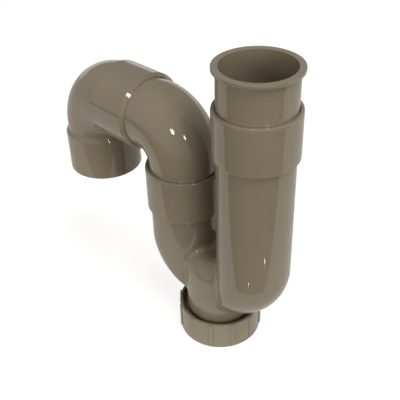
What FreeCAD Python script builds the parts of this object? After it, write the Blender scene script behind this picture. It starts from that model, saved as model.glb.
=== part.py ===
import FreeCAD, Part
import os
import math
import Sketcher
from FreeCAD import Vector

# Basin trap for 50 mm waste pipe, in millimetres, +Z up.
# The origin is the centre of the inlet sleeve's top face. The inlet leg's axis is Z. The outlet
# leg and the outlet run lie at -X of it, in the XZ plane.

SIZES = [
    # pipe and sleeve
    ("pipe_radius", 25.0, "outside of every plain pipe end"),
    ("pipe_wall", 1.8, "wall of the plain pipe"),
    ("collar_radius", 27.5, "collar round the sleeve's top"),
    ("collar_thickness", 2.5, "height of that collar"),
    ("sleeve_stand", 26.3, "how far the sleeve stands above the inlet socket"),
    # sockets
    ("socket_radius", 27.8, "outside of every socket"),
    ("socket_depth", 30.0, "depth of every socket, mouth to stop"),
    ("socket_clearance", 0.3, "gap round a plain pipe end in its socket"),
    ("socket_step", 2.8, "solid ring between a body socket's stop and its outer step"),
    ("elbow_step", 2.2, "the same ring on the elbow"),
    ("seat_gap", 0.3, "gap between a pipe end and its stop"),
    ("lead_in", 0.3, "widening of a socket's mouth"),
    ("lead_in_depth", 0.8, "depth of that widening"),
    # trap body
    ("body_radius", 25.4, "outside of both legs"),
    ("body_wall", 1.8, "wall of the legs"),
    ("leg_spacing", 64.0, "inlet axis to outlet axis"),
    ("outlet_rim_depth", 92.1, "sleeve's top to the outlet leg's rim"),
    ("leg_depth", 187.7, "sleeve's top to the lowest point of the dished feet"),
    ("dish_shift", 12.2, "centre of the dish, from the leg's axis towards the middle"),
    ("dish_margin", 1.0, "how much wider the dish is than the leg, on the leg's outer side"),
    ("foot_round", 5.0, "rounding between leg and dish"),
    # clean-out chamber and nozzle, midway between the legs
    ("chamber_radius", 24.4, "outside of the chamber and its neck"),
    ("chamber_wall", 2.4, "wall of the chamber and its neck"),
    ("chamber_rise", 40.0, "lowest point of the dished feet to the chamber's top"),
    ("shoulder_round", 10.0, "rounding round the chamber's top"),
    ("web_fillet", 3.5, "fillet where the chamber meets the legs"),
    ("neck_length", 16.5, "lowest point of the dished feet to the thread's top"),
    ("thread_radius", 27.3, "outside of the nozzle's threaded end"),
    ("thread_length", 12.2, "length of the threaded end"),
    # cap and seal
    ("cap_height", 23.0, "height of the cap"),
    ("cap_wall", 2.6, "wall of the cap round its thread, between its ribs"),
    ("cap_floor", 2.2, "thickness of the cap's floor"),
    ("thread_clearance", 0.3, "gap round the nozzle's thread in the cap"),
    ("mouth_widening", 0.7, "how much wider the cap's plain mouth is than its thread"),
    ("mouth_depth", 5.0, "depth of that mouth"),
    ("rib_count", 12, "grip ribs round the cap"),
    ("rib_width", 3.0, "width of a rib"),
    ("rib_height", 0.9, "how far a rib stands out"),
    ("rib_bevel", 0.4, "bevel along a rib's outer edges"),
    ("rib_root", 1.0, "how far a rib reaches into the cap's wall"),
    ("rib_foot", 3.8, "cap's underside to a rib's lower end"),
    ("seal_set_back", 0.2, "how much wider the seal's hole is than the nozzle's bore"),
    ("seal_thickness", 2.4, "thickness of the seal"),
    ("seal_clearance", 0.4, "gap round the seal in the cap"),
    ("seal_gap", 0.1, "gap between the nozzle's end and the seal"),
    # outlet bend and elbow
    ("bend_radius", 25.5, "centreline of the outlet bend"),
    ("bend_rise", 3.2, "outlet rim to the start of the bend"),
    ("run_reach", 7.8, "end of the bend to the elbow's mouth"),
    ("elbow_tube_radius", 26.2, "outside of the elbow between its sockets"),
    ("elbow_bore_radius", 23.4, "bore of the elbow between its stops"),
    ("elbow_radius", 26.5, "centreline of the elbow"),
    ("elbow_overlap", 1.4, "how far the elbow's curve starts inside its upper socket"),
    ("elbow_neck", 5.2, "end of the elbow's curve to the lower socket's step"),
    # small edges
    ("rim_round", 0.6, "rounding of a socket's rim"),
    ("step_round", 0.6, "rounding of a socket's step"),
    ("collar_round", 0.7, "rounding of the collar"),
    ("pipe_chamfer", 0.8, "chamfer on a plain pipe end"),
    ("cap_round", 1.0, "rounding under the cap"),
]

# places and sizes that follow from the driving ones
PIPE_BORE = "(Sizes.pipe_radius - Sizes.pipe_wall)"
PIPE_IN = "(Sizes.socket_depth - Sizes.seat_gap)"
SOCKET_BORE = "(Sizes.pipe_radius + Sizes.socket_clearance)"
LEAD_IN = f"({SOCKET_BORE} + Sizes.lead_in)"
BODY_BORE = "(Sizes.body_radius - Sizes.body_wall)"
DISH = "(Sizes.body_radius + Sizes.dish_shift + Sizes.dish_margin)"
INLET_RIM = "(-Sizes.sleeve_stand)"
OUTLET_RIM = "(-Sizes.outlet_rim_depth)"
OUTLET_X = "(-Sizes.leg_spacing)"
MIDDLE_X = "(-Sizes.leg_spacing / 2)"
CHAMBER_TOP = "(-(Sizes.leg_depth - Sizes.chamber_rise))"
CHAMBER_BORE = "(Sizes.chamber_radius - Sizes.chamber_wall)"
THREAD_TOP = "(-(Sizes.leg_depth + Sizes.neck_length))"
NOZZLE_END = f"({THREAD_TOP} - Sizes.thread_length)"
SEAL_TOP = f"({NOZZLE_END} - Sizes.seal_gap)"
SEAL_HOLE = f"({CHAMBER_BORE} + Sizes.seal_set_back)"
CAP_FLOOR_TOP = f"({SEAL_TOP} - Sizes.seal_thickness)"
CAP_BOTTOM = f"({CAP_FLOOR_TOP} - Sizes.cap_floor)"
CAP_TOP = f"({CAP_BOTTOM} + Sizes.cap_height)"
CAP_BORE = "(Sizes.thread_radius + Sizes.thread_clearance)"
CAP_MOUTH = f"({CAP_BORE} + Sizes.mouth_widening)"
CAP_OUTSIDE = f"({CAP_BORE} + Sizes.cap_wall)"
BEND_Z = f"({OUTLET_RIM} + Sizes.bend_rise)"
RUN_Z = f"({BEND_Z} + Sizes.bend_radius)"
BEND_END_X = f"({OUTLET_X} - Sizes.bend_radius)"
ELBOW_MOUTH_X = f"({BEND_END_X} - Sizes.run_reach)"
ELBOW_STOP_X = f"({ELBOW_MOUTH_X} - Sizes.socket_depth)"
ELBOW_STEP_X = f"({ELBOW_STOP_X} - Sizes.elbow_step)"
ELBOW_CURVE_X = f"({ELBOW_STEP_X} + Sizes.elbow_overlap)"
DROP_X = f"({ELBOW_CURVE_X} - Sizes.elbow_radius)"
DROP_Z = f"({RUN_Z} - Sizes.elbow_radius)"
DROP_STEP_Z = f"({DROP_Z} - Sizes.elbow_neck)"
DROP_STOP_Z = f"({DROP_STEP_Z} - Sizes.elbow_step)"
DROP_MOUTH_Z = f"({DROP_STOP_Z} - Sizes.socket_depth)"

doc = FreeCAD.newDocument("basin_trap")
sheet = doc.addObject("Spreadsheet::Sheet", "Sizes")
for row, (alias, value, note) in enumerate(SIZES, start=1):
    sheet.set(f"A{row}", alias)
    sheet.set(f"B{row}", str(value))
    sheet.setAlias(f"B{row}", alias)
    sheet.set(f"C{row}", note)
doc.recompute()


def size(expression):
    """Value of an expression on the sheet."""
    return float(sheet.evalExpression(expression))


def new_body(label, axis_x=None):
    """A body, with its own Z axis at a place along X if one is given."""
    body = doc.addObject("PartDesign::Body", label)
    body.Label = label
    if axis_x:
        body.setExpression("Placement.Base.x", axis_x)
    return body


def new_sketch(body, name, role, across=None, up=None, out=None):
    """An empty sketch on one of the body's origin planes, shifted in that plane and off it."""
    sketch = body.newObject("Sketcher::SketchObject", name)
    plane = next(item for item in body.Origin.OriginFeatures if item.Role == role)
    sketch.AttachmentSupport = [(plane, "")]
    sketch.MapMode = "FlatFace"
    for axis, shift in (("x", across), ("y", up), ("z", out)):
        if shift:
            sketch.setExpression(f"AttachmentOffset.Base.{axis}", shift)
    return sketch


def bind(sketch, constraint, expression):
    """Adds a sized constraint and ties it to the sheet."""
    number = sketch.addConstraint(constraint)
    if "Sizes" in expression:
        sketch.setExpression(f"Constraints[{number}]", expression)


def draw_outline(sketch, corners):
    """Closed outline through corners, each a pair of expressions."""
    points = [Vector(size(across), size(up), 0) for across, up in corners]
    count = len(points)
    for number, point in enumerate(points):
        sketch.addGeometry(Part.LineSegment(point, points[(number + 1) % count]))
    for number in range(count):
        follower = (number + 1) % count
        sketch.addConstraint(Sketcher.Constraint("Coincident", number, 2, follower, 1))
    for number, (across, up) in enumerate(corners):
        place = points[number]
        bind(sketch, Sketcher.Constraint("DistanceX", -1, 1, number, 1, place.x), across)
        bind(sketch, Sketcher.Constraint("DistanceY", -1, 1, number, 1, place.y), up)


def spin(body, name, sketch, corners, axis, cut):
    """Adds or cuts what an outline sweeps in a full turn about one of its sketch's axes."""
    draw_outline(sketch, corners)
    kind = "PartDesign::Groove" if cut else "PartDesign::Revolution"
    feature = body.newObject(kind, name)
    feature.Profile = sketch
    feature.ReferenceAxis = (sketch, [axis])
    feature.Angle = 360
    doc.recompute()
    return feature


def turn(body, name, corners, across=None, up=None, axis="V_Axis", cut=False):
    """A turned form drawn in the XZ plane."""
    sketch = new_sketch(body, name + "_outline", "XZ_Plane", across, up)
    return spin(body, name, sketch, corners, axis, cut)


def turn_facing_y(body, name, corners, axis_x=None):
    """An upright turned form drawn across the trap's plane, so that its seam keeps off the webs."""
    sketch = new_sketch(body, name + "_outline", "YZ_Plane", out=axis_x)
    return spin(body, name, sketch, corners, "V_Axis", False)


def quarter_bend(body, name, centre_x, centre_z, reach, radius, upwards, cut=False):
    """A round bar or bore through a right angle, about a level axis across the trap's plane."""
    sketch = new_sketch(body, name + "_outline", "XY_Plane", across=centre_x, out=centre_z)
    middle, r = size(reach), size(radius)
    sketch.addGeometry(Part.Circle(Vector(middle, 0, 0), Vector(0, 0, 1), r))
    sketch.addConstraint(Sketcher.Constraint("PointOnObject", 0, 3, -1))
    bind(sketch, Sketcher.Constraint("DistanceX", -1, 1, 0, 3, middle), reach)
    bind(sketch, Sketcher.Constraint("Radius", 0, r), radius)
    kind = "PartDesign::Groove" if cut else "PartDesign::Revolution"
    feature = body.newObject(kind, name)
    feature.Profile = sketch
    feature.ReferenceAxis = (sketch, ["V_Axis"])
    feature.Angle = 90
    feature.Reversed = upwards
    doc.recompute()
    return feature


def ring_at(radius, height, axis_x="0"):
    """Picks whole circles of a radius about an upright axis, at a height."""
    wanted = size(radius)
    middle = Vector(size(axis_x), 0, size(height))

    def picks(edge):
        if not isinstance(edge.Curve, Part.Circle):
            return False
        return (edge.Curve.Center - middle).Length < 1e-3 and abs(edge.Curve.Radius - wanted) < 1e-3

    return picks


def level_ring_at(radius, across):
    """The same for circles about the outlet run's level axis."""
    wanted = size(radius)
    middle = Vector(size(across), 0, size(RUN_Z))

    def picks(edge):
        if not isinstance(edge.Curve, Part.Circle):
            return False
        return (edge.Curve.Center - middle).Length < 1e-3 and abs(edge.Curve.Radius - wanted) < 1e-3

    return picks


def soften(body, name, pickers, amount, kind="Fillet"):
    """Fillet or chamfer on those edges of the body's tip that one of the pickers picks."""
    tip = body.Tip
    names = [f"Edge{number}" for number, edge in enumerate(tip.Shape.Edges, start=1)
             if any(picks(edge) for picks in pickers)]
    if len(names) < len(pickers):
        raise RuntimeError(f"{name}: {len(names)} edges found for {len(pickers)} places")
    feature = body.newObject("PartDesign::" + kind, name)
    feature.Base = (tip, names)
    feature.setExpression("Radius" if kind == "Fillet" else "Size", amount)
    doc.recompute()
    return feature


def make_inlet_sleeve():
    """Plain pipe with a collar round its top. It stands in the inlet socket, just off its stop."""
    body = new_body("inlet_sleeve")
    under_collar = "(-Sizes.collar_thickness)"
    end = f"({INLET_RIM} - {PIPE_IN})"
    turn(body, "sleeve_wall", [
        (PIPE_BORE, "0"),
        ("Sizes.collar_radius", "0"),
        ("Sizes.collar_radius", under_collar),
        ("Sizes.pipe_radius", under_collar),
        ("Sizes.pipe_radius", end),
        (PIPE_BORE, end),
    ])
    collar_edges = [
        ring_at("Sizes.collar_radius", "0"),
        ring_at("Sizes.collar_radius", under_collar),
    ]
    soften(body, "collar_rounds", collar_edges, "Sizes.collar_round")
    pipe_end = [ring_at("Sizes.pipe_radius", end)]
    soften(body, "sleeve_chamfer", pipe_end, "Sizes.pipe_chamfer", "Chamfer")
    return body


def cut_dish(body, name, centre_x, radius):
    """Cuts a leg's foot to a ball whose centre lies between the leg's axis and the middle."""
    sketch = new_sketch(body, name + "_outline", "XZ_Plane", centre_x,
                        f"-(Sizes.leg_depth - {DISH})")
    r = size(radius)
    far = 1.5 * r
    ball = Part.Circle(Vector(0, 0, 0), Vector(0, 0, 1), r)
    sketch.addGeometry(Part.ArcOfCircle(ball, -math.pi, 0))
    places = [(r, 0), (far, 0), (far, -far), (-far, -far), (-far, 0), (-r, 0)]
    corners = [Vector(across, up, 0) for across, up in places]
    for start, end in zip(corners, corners[1:]):
        sketch.addGeometry(Part.LineSegment(start, end))
    joints = [(0, 3, -1, 1), (0, 2, 1, 1), (1, 2, 2, 1), (2, 2, 3, 1), (3, 2, 4, 1),
              (4, 2, 5, 1), (5, 2, 0, 1)]
    for first, first_end, second, second_end in joints:
        joined = Sketcher.Constraint("Coincident", first, first_end, second, second_end)
        sketch.addConstraint(joined)
    for line in (1, 3, 5):
        sketch.addConstraint(Sketcher.Constraint("Horizontal", line))
    for line in (2, 4):
        sketch.addConstraint(Sketcher.Constraint("Vertical", line))
    sketch.addConstraint(Sketcher.Constraint("PointOnObject", 0, 1, -1))
    sketch.addConstraint(Sketcher.Constraint("PointOnObject", 0, 2, -1))
    bind(sketch, Sketcher.Constraint("Radius", 0, r), radius)
    bind(sketch, Sketcher.Constraint("DistanceX", -1, 1, 1, 2, far), f"1.5 * {radius}")
    bind(sketch, Sketcher.Constraint("DistanceX", 4, 2, -1, 1, far), f"1.5 * {radius}")
    bind(sketch, Sketcher.Constraint("DistanceY", 2, 2, 2, 1, far), f"1.5 * {radius}")
    groove = body.newObject("PartDesign::Groove", name)
    groove.Profile = sketch
    groove.ReferenceAxis = (sketch, ["H_Axis"])
    groove.Angle = 180
    groove.Midplane = True
    doc.recompute()
    return groove


def dish_edge(axis_x, leg_radius, centre_x, radius):
    """Picks the edge between a leg's wall and its dished foot."""
    wall_x, wall = size(axis_x), size(leg_radius)
    ball = Vector(size(centre_x), 0, -size(f"Sizes.leg_depth - {DISH}"))
    ball_radius = size(radius)

    def picks(edge):
        first, last = edge.ParameterRange
        points = [edge.valueAt(first + share * (last - first)) for share in (0.2, 0.5, 0.8)]
        on_wall = all(abs(math.hypot(p.x - wall_x, p.y) - wall) < 1e-2 for p in points)
        on_ball = all(abs((p - ball).Length - ball_radius) < 1e-2 for p in points)
        return on_wall and on_ball

    return picks


def make_leg(label, corners, axis_x, leg_radius, dish_x, dish, edge_radius):
    """A leg's skin or its hollow: turned, dished below, and rounded round the dish."""
    body = new_body(label)
    turn_facing_y(body, label + "_wall", corners, axis_x)
    cut_dish(body, label + "_dish", dish_x, dish)
    soften(body, label + "_foot", [dish_edge(axis_x, leg_radius, dish_x, dish)], edge_radius)
    return body


def skin_corners(rim):
    step = f"({rim} - Sizes.socket_depth - Sizes.socket_step)"
    return [
        ("0", rim),
        ("Sizes.socket_radius", rim),
        ("Sizes.socket_radius", step),
        ("Sizes.body_radius", step),
        ("Sizes.body_radius", "(-Sizes.leg_depth)"),
        ("0", "(-Sizes.leg_depth)"),
    ]


def hollow_corners(rim):
    stop = f"({rim} - Sizes.socket_depth)"
    return [
        ("0", rim),
        (LEAD_IN, rim),
        (SOCKET_BORE, f"({rim} - Sizes.lead_in_depth)"),
        (SOCKET_BORE, stop),
        (BODY_BORE, stop),
        (BODY_BORE, "(-Sizes.leg_depth)"),
        ("0", "(-Sizes.leg_depth)"),
    ]


def web_edges(joined, legs, chamber):
    """Edges of the joined skin that lie on the chamber's skin and on a leg's at once.

    The fillets of both legs share the gap between the legs, so that gap limits them.
    """
    radius = size("min(Sizes.web_fillet; 0.4 * (Sizes.leg_spacing - 2 * Sizes.body_radius))")
    chosen = []
    for number, edge in enumerate(joined.Edges, start=1):
        first, last = edge.ParameterRange
        shares = (0.2, 0.5, 0.8)
        dots = [Part.Vertex(edge.valueAt(first + share * (last - first))) for share in shares]
        on_chamber = all(chamber.Shells[0].distToShape(dot)[0] < 1e-3 for dot in dots)
        on_leg = any(all(leg.Shells[0].distToShape(dot)[0] < 1e-3 for dot in dots) for leg in legs)
        if on_chamber and on_leg:
            chosen.append((number, radius, radius))
    return chosen


def make_trap_body():
    """One moulding: two legs with dished feet, the chamber that joins them, and its nozzle."""
    inner_dish = f"({DISH} - Sizes.body_wall)"
    inner_round = "Sizes.foot_round - Sizes.body_wall"
    legs = [
        ("inlet", "0", "(-Sizes.dish_shift)", INLET_RIM),
        ("outlet", OUTLET_X, f"({OUTLET_X} + Sizes.dish_shift)", OUTLET_RIM),
    ]
    skins = []
    hollows = []
    for side, axis_x, dish_x, rim in legs:
        skin = make_leg(side + "_skin", skin_corners(rim), axis_x, "Sizes.body_radius",
                        dish_x, DISH, "Sizes.foot_round")
        step = f"({rim} - Sizes.socket_depth - Sizes.socket_step)"
        rim_edge = [ring_at("Sizes.socket_radius", rim, axis_x)]
        step_edge = [ring_at("Sizes.socket_radius", step, axis_x)]
        soften(skin, side + "_rim_round", rim_edge, "Sizes.rim_round")
        soften(skin, side + "_step_round", step_edge, "Sizes.step_round")
        skins.append(skin)
        hollow = make_leg(side + "_hollow", hollow_corners(rim), axis_x, BODY_BORE,
                          dish_x, inner_dish, inner_round)
        hollows.append(hollow)

    chamber = new_body("chamber_skin", MIDDLE_X)
    turn_facing_y(chamber, "chamber_wall_form", [
        ("0", CHAMBER_TOP),
        ("Sizes.chamber_radius", CHAMBER_TOP),
        ("Sizes.chamber_radius", THREAD_TOP),
        ("Sizes.thread_radius", THREAD_TOP),
        ("Sizes.thread_radius", NOZZLE_END),
        ("0", NOZZLE_END),
    ])
    soften(chamber, "chamber_shoulder", [ring_at("Sizes.chamber_radius", CHAMBER_TOP)],
           "Sizes.shoulder_round")
    thread_ends = [
        ring_at("Sizes.thread_radius", THREAD_TOP),
        ring_at("Sizes.thread_radius", NOZZLE_END),
    ]
    soften(chamber, "thread_ends", thread_ends, "Sizes.pipe_chamfer", "Chamfer")

    chamber_hollow = new_body("chamber_hollow", MIDDLE_X)
    hollow_top = f"({CHAMBER_TOP} - Sizes.chamber_wall)"
    turn_facing_y(chamber_hollow, "chamber_bore_form", [
        ("0", hollow_top),
        (CHAMBER_BORE, hollow_top),
        (CHAMBER_BORE, NOZZLE_END),
        ("0", NOZZLE_END),
    ])
    soften(chamber_hollow, "hollow_shoulder", [ring_at(CHAMBER_BORE, hollow_top)],
           "Sizes.shoulder_round - Sizes.chamber_wall")

    joined = doc.addObject("Part::MultiFuse", "joined_skin")
    joined.Shapes = skins + [chamber]
    joined.Refine = False
    doc.recompute()
    webbed = doc.addObject("Part::Fillet", "webbed_skin")
    webbed.Base = joined
    webbed.Edges = web_edges(joined.Shape, [skin.Shape for skin in skins], chamber.Shape)
    doc.recompute()
    water_way = doc.addObject("Part::MultiFuse", "water_way")
    water_way.Shapes = hollows + [chamber_hollow]
    trap = doc.addObject("Part::Cut", "trap_body")
    trap.Base = webbed
    trap.Tool = water_way
    doc.recompute()
    return trap


def make_cleanout_cap():
    """Screw cap with a plain mouth above its thread and narrow grip ribs."""
    body = new_body("cleanout_cap", MIDDLE_X)
    mouth_foot = f"({CAP_TOP} - Sizes.mouth_depth)"
    turn(body, "cap_wall", [
        ("0", CAP_BOTTOM),
        (CAP_OUTSIDE, CAP_BOTTOM),
        (CAP_OUTSIDE, CAP_TOP),
        (CAP_MOUTH, CAP_TOP),
        (CAP_MOUTH, mouth_foot),
        (CAP_BORE, mouth_foot),
        (CAP_BORE, CAP_FLOOR_TOP),
        ("0", CAP_FLOOR_TOP),
    ])
    soften(body, "cap_edge", [ring_at(CAP_OUTSIDE, CAP_BOTTOM)], "Sizes.cap_round")
    foot = f"({CAP_BOTTOM} + Sizes.rib_foot)"
    sketch = new_sketch(body, "rib_outline", "XY_Plane", out=foot)
    inside = f"({CAP_OUTSIDE} - Sizes.rib_root)"
    outside = f"({CAP_OUTSIDE} + Sizes.rib_height)"
    shoulder = f"({CAP_OUTSIDE} + Sizes.rib_height - Sizes.rib_bevel)"
    half = "(Sizes.rib_width / 2)"
    flat = "(Sizes.rib_width / 2 - Sizes.rib_bevel)"
    draw_outline(sketch, [
        (inside, f"(-{half})"),
        (shoulder, f"(-{half})"),
        (outside, f"(-{flat})"),
        (outside, flat),
        (shoulder, half),
        (inside, half),
    ])
    rib = body.newObject("PartDesign::Pad", "rib")
    rib.Profile = sketch
    rib.setExpression("Length", "Sizes.cap_height - Sizes.rib_foot")
    doc.recompute()
    ribs = body.newObject("PartDesign::PolarPattern", "ribs")
    ribs.Originals = [rib]
    ribs.Axis = (sketch, ["N_Axis"])
    ribs.Angle = 360
    body.Tip = ribs
    ribs.setExpression("Occurrences", "Sizes.rib_count")
    doc.recompute()
    return body


def make_cap_seal():
    """Flat washer on the cap's floor, just clear of the nozzle's end."""
    body = new_body("cap_seal", MIDDLE_X)
    outside = f"({CAP_BORE} - Sizes.seal_clearance)"
    turn(body, "seal_ring", [
        (SEAL_HOLE, CAP_FLOOR_TOP),
        (outside, CAP_FLOOR_TOP),
        (outside, SEAL_TOP),
        (SEAL_HOLE, SEAL_TOP),
    ])
    return body


def make_outlet_bend():
    """Bend with a plain end down into the outlet leg and a plain end out into the elbow."""
    body = new_body("outlet_bend")
    foot = f"({OUTLET_RIM} - {PIPE_IN})"
    tip = f"({ELBOW_MOUTH_X} - {PIPE_IN})"
    for name, radius, cut in (("pipe", "Sizes.pipe_radius", False), ("bore", PIPE_BORE, True)):
        quarter_bend(body, name + "_bend", BEND_END_X, BEND_Z, "Sizes.bend_radius", radius,
                     True, cut)
        upright = [("0", BEND_Z), (radius, BEND_Z), (radius, foot), ("0", foot)]
        turn(body, name + "_foot", upright, across=OUTLET_X, cut=cut)
        level = [(BEND_END_X, "0"), (BEND_END_X, radius), (tip, radius), (tip, "0")]
        turn(body, name + "_run", level, up=RUN_Z, axis="H_Axis", cut=cut)
    ends = [ring_at("Sizes.pipe_radius", foot, OUTLET_X), level_ring_at("Sizes.pipe_radius", tip)]
    soften(body, "bend_chamfers", ends, "Sizes.pipe_chamfer", "Chamfer")
    return body


def make_outlet_elbow():
    """Elbow with a level socket for the bend's plain end and a socket open downwards."""
    body = new_body("outlet_elbow")
    socket = "Sizes.socket_radius"
    tube = "Sizes.elbow_tube_radius"
    bore = "Sizes.elbow_bore_radius"
    reach = "(-Sizes.elbow_radius)"
    turn(body, "level_socket", [
        (ELBOW_MOUTH_X, "0"), (ELBOW_MOUTH_X, socket), (ELBOW_STEP_X, socket), (ELBOW_STEP_X, "0"),
    ], up=RUN_Z, axis="H_Axis")
    soften(body, "level_step", [level_ring_at(socket, ELBOW_STEP_X)], "Sizes.step_round")
    soften(body, "level_rim", [level_ring_at(socket, ELBOW_MOUTH_X)], "Sizes.rim_round")
    quarter_bend(body, "elbow_curve", ELBOW_CURVE_X, DROP_Z, reach, tube, False)
    turn(body, "drop_socket", [
        ("0", DROP_Z), (tube, DROP_Z), (tube, DROP_STEP_Z), (socket, DROP_STEP_Z),
        (socket, DROP_MOUTH_Z), ("0", DROP_MOUTH_Z),
    ], across=DROP_X)
    soften(body, "drop_step", [ring_at(socket, DROP_STEP_Z, DROP_X)], "Sizes.step_round")
    soften(body, "drop_rim", [ring_at(socket, DROP_MOUTH_Z, DROP_X)], "Sizes.rim_round")
    turn(body, "level_bore", [
        (ELBOW_MOUTH_X, "0"), (ELBOW_MOUTH_X, LEAD_IN),
        (f"({ELBOW_MOUTH_X} - Sizes.lead_in_depth)", SOCKET_BORE), (ELBOW_STOP_X, SOCKET_BORE),
        (ELBOW_STOP_X, bore), (ELBOW_CURVE_X, bore), (ELBOW_CURVE_X, "0"),
    ], up=RUN_Z, axis="H_Axis", cut=True)
    turn(body, "drop_bore", [
        ("0", DROP_Z), (bore, DROP_Z), (bore, DROP_STOP_Z), (SOCKET_BORE, DROP_STOP_Z),
        (SOCKET_BORE, f"({DROP_MOUTH_Z} + Sizes.lead_in_depth)"), (LEAD_IN, DROP_MOUTH_Z),
        ("0", DROP_MOUTH_Z),
    ], across=DROP_X, cut=True)
    quarter_bend(body, "elbow_curve_bore", ELBOW_CURVE_X, DROP_Z, reach, bore, False, cut=True)
    return body


nodes = [
    make_trap_body(),
    make_inlet_sleeve(),
    make_outlet_bend(),
    make_outlet_elbow(),
    make_cleanout_cap(),
    make_cap_seal(),
]
doc.recompute()

for item in doc.Objects:
    if "Invalid" in item.State or "Error" in item.State:
        raise RuntimeError(f"{item.Name}: {item.State}")
for node in nodes:
    if node.Shape.isNull() or not node.Shape.isValid() or len(node.Shape.Solids) != 1:
        raise RuntimeError(f"{node.Label}: not one valid solid")

os.makedirs("parts", exist_ok=True)
for node in nodes:
    node.Shape.exportStep(f"parts/{node.Label}.step")
    box = node.Shape.BoundBox
    print(f"{node.Label}: {node.Shape.Volume / 1000:.1f} cm3, x {box.XMin:.1f} {box.XMax:.1f}, "
          f"z {box.ZMin:.1f} {box.ZMax:.1f}")
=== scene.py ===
import math

import bpy
import numpy as np
from mathutils import Matrix, Vector


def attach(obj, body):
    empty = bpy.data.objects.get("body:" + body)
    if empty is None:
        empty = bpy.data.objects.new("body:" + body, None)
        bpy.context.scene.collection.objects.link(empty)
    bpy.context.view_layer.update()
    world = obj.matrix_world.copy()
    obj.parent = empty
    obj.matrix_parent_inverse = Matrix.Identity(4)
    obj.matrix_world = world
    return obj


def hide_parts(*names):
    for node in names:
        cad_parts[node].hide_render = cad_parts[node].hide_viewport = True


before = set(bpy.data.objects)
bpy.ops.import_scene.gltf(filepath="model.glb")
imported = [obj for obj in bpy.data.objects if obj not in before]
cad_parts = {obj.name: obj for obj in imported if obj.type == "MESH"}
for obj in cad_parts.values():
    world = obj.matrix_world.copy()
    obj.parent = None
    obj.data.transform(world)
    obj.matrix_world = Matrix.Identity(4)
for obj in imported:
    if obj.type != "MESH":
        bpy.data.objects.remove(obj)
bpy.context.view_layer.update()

# A basin trap: two legs joined by a chamber, a sleeve, a bend, an elbow and a clean-out cap.
# All lengths are in millimetres until a mesh is made. Heights are in the row frame, so they are
# negative under the inlet's mouth. A profile lists (height or way along, radius, rounding).
millimetre = 0.001
fullTurn = 2 * math.pi
tiny = 1e-9                  # keeps a divisor off nought
common = {
    "outletX": -64.0,        # outlet leg's axis
    "middleX": -32.0,        # axis of the chamber, nozzle, seal and cap
    "pipeOut": 25.0,
    "pipeIn": 23.2,
    "chamfer": 0.8,          # round a plain end
    "chamferRound": 0.1,
    "endRound": 0.2,         # inside a plain end
    "socketOut": 27.8,
    "socketIn": 25.3,
    "socketDepth": 30.0,
    "leadIn": 25.45,         # a socket widens to this at its mouth
    "leadInDepth": 0.8,
    "leadInRound": 0.4,
    "rimRound": 0.45,
    "stopRound": 0.15,
    "runZ": -63.4,           # height of the level outlet run
    "columns": 192,          # steps round a pipe
}


def cornerArc(place, before, after, rounding, steps):
    # Points and outward normals of one rounded corner. Tangent length = rounding times the
    # tangent of half the turn; the normal turns evenly from one side's to the other's.
    normal = np.array([-before[1], before[0]])
    turn = math.atan2(before[0] * after[1] - before[1] * after[0], before @ after)
    leastTurn = 1e-6
    if abs(turn) < leastTurn or rounding <= 0:
        return np.array([place]), np.array([normal])
    angles = np.linspace(0, turn, steps + 1)
    normals = np.stack([
        normal[0] * np.cos(angles) - normal[1] * np.sin(angles),
        normal[0] * np.sin(angles) + normal[1] * np.cos(angles),
    ], axis=1)
    start = place - before * rounding * math.tan(abs(turn) / 2)
    side = -math.copysign(1, turn)
    centre = start - side * rounding * normal
    return centre + side * rounding * normals, normals


def evenSteps(start, end, spacing):
    # Points between two ends at start + (end - start) * k / pieces, without the ends.
    gap = end - start
    pieces = max(1, int(math.ceil(np.linalg.norm(gap) / spacing)))
    return start + gap * (np.arange(1, pieces) / pieces)[:, None]


def roundedProfile(corners, spacing=4.0, closed=True, steps=5):
    # Outline through corners of (along, radius, rounding), each corner an arc and each side
    # divided evenly. The outside lies on the left of the way along it.
    corners = np.array(corners, float)
    places = corners[:, :2]
    count = len(places)
    points, normals = [], []
    for number in range(count):
        before = places[number] - places[number - 1]
        after = places[(number + 1) % count] - places[number]
        if not closed and number == 0:
            before = after
        if not closed and number == count - 1:
            after = before
        before, after = before / np.linalg.norm(before), after / np.linalg.norm(after)
        arc, arcNormals = cornerArc(places[number], before, after, corners[number, 2], steps)
        if points:
            side = evenSteps(points[-1][-1], arc[0], spacing)
            points.append(side)
            normals.append(np.repeat(arcNormals[:1], len(side), axis=0))
        points.append(arc)
        normals.append(arcNormals)
    points, normals = np.concatenate(points), np.concatenate(normals)
    if closed:
        side = evenSteps(points[-1], points[0], spacing)
        points = np.concatenate([points, side])
        normals = np.concatenate([normals, np.repeat(normals[:1], len(side), axis=0)])
    return points, normals


def pathFrames(along, start, ahead, aside, curveStart=1e9, radius=1.0):
    # Places, directions and outward normals on a path that runs straight ahead, turns a quarter
    # towards aside, and runs straight on. Turn = way past the curve's start / radius.
    start, ahead, aside = (np.array(vector, float) for vector in (start, ahead, aside))
    turn = np.clip((along - curveStart) / radius, 0, fullTurn / 4)[:, None]
    first = np.minimum(along, curveStart)[:, None]
    last = np.maximum(along - curveStart - radius * fullTurn / 4, 0)[:, None]
    place = start + ahead * (first + radius * np.sin(turn)) + aside * (
        radius * (1 - np.cos(turn)) + last)
    direction = ahead * np.cos(turn) + aside * np.sin(turn)
    outward = ahead * np.sin(turn) - aside * np.cos(turn)
    return place, direction, outward


def uprightFrames(along, axisX=0.0):
    # A straight path up a vertical axis, with the height as the way along it.
    return pathFrames(along, (axisX, 0, 0), (0, 0, 1), (-1, 0, 0))


def evenAngles():
    return np.arange(common["columns"]) * fullTurn / common["columns"]


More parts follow.
